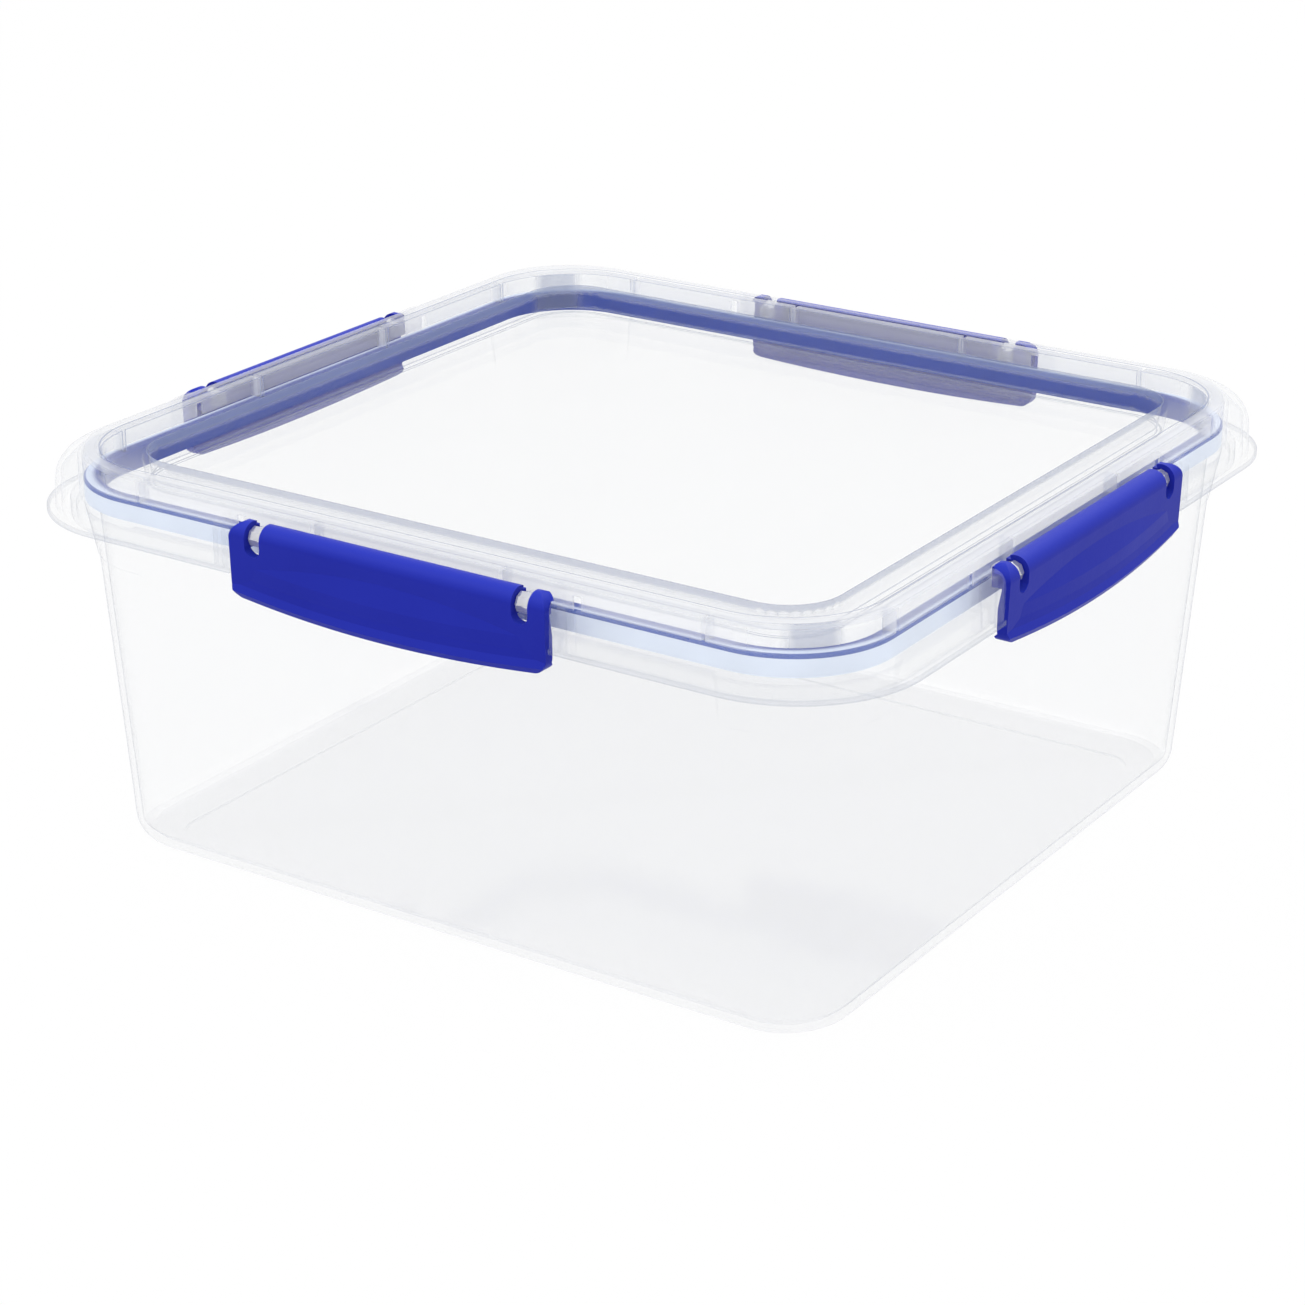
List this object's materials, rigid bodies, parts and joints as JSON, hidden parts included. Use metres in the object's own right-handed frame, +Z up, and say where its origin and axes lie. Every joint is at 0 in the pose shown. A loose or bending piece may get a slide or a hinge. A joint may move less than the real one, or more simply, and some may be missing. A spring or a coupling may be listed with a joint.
{
  "type": "food storage container",
  "caption": "Clear square-cornered food box with a sealed snap-down lid, hinged clips along the sides and a sunken lid panel.",
  "frame": {"origin": "middle of the underside, at table height", "axes": "+Z up; +X along the longer side, towards the right clip; +Y towards the back clip"},
  "size_m": [0.2672, 0.2572, 0.1138],
  "materials": {
    "clear_tub": "gloss",
    "clear_lid": "gloss",
    "seal": "matte",
    "clip": "satin"
  },
  "bodies": {
    "tub": {"tub": "clear_tub"},
    "lid": {"lid": "clear_lid", "lid_seal": "seal"},
    "right_clip": {"right_clip": "clip"},
    "back_clip": {"back_clip": "clip"},
    "left_clip": {"left_clip": "clip"},
    "front_clip": {"front_clip": "clip"}
  },
  "joints": [
    {"name": "lid_lift", "type": "slide", "parent": "tub", "child": "lid", "axis": [0, 0, 1], "range_m": [0, 0.1]},
    {"name": "right_clip_hinge", "type": "hinge", "parent": "lid", "child": "right_clip", "pos_m": [0.1274, 0, 0.1078], "axis": [0, -1, 0], "range_deg": [-4, 110]},
    {"name": "back_clip_hinge", "type": "hinge", "parent": "lid", "child": "back_clip", "pos_m": [0, 0.1224, 0.1078], "axis": [1, 0, 0], "range_deg": [-4, 110]},
    {"name": "left_clip_hinge", "type": "hinge", "parent": "lid", "child": "left_clip", "pos_m": [-0.1274, 0, 0.1078], "axis": [0, 1, 0], "range_deg": [-4, 110]},
    {"name": "front_clip_hinge", "type": "hinge", "parent": "lid", "child": "front_clip", "pos_m": [0, -0.1224, 0.1078], "axis": [-1, 0, 0], "range_deg": [-4, 110]}
  ]
}
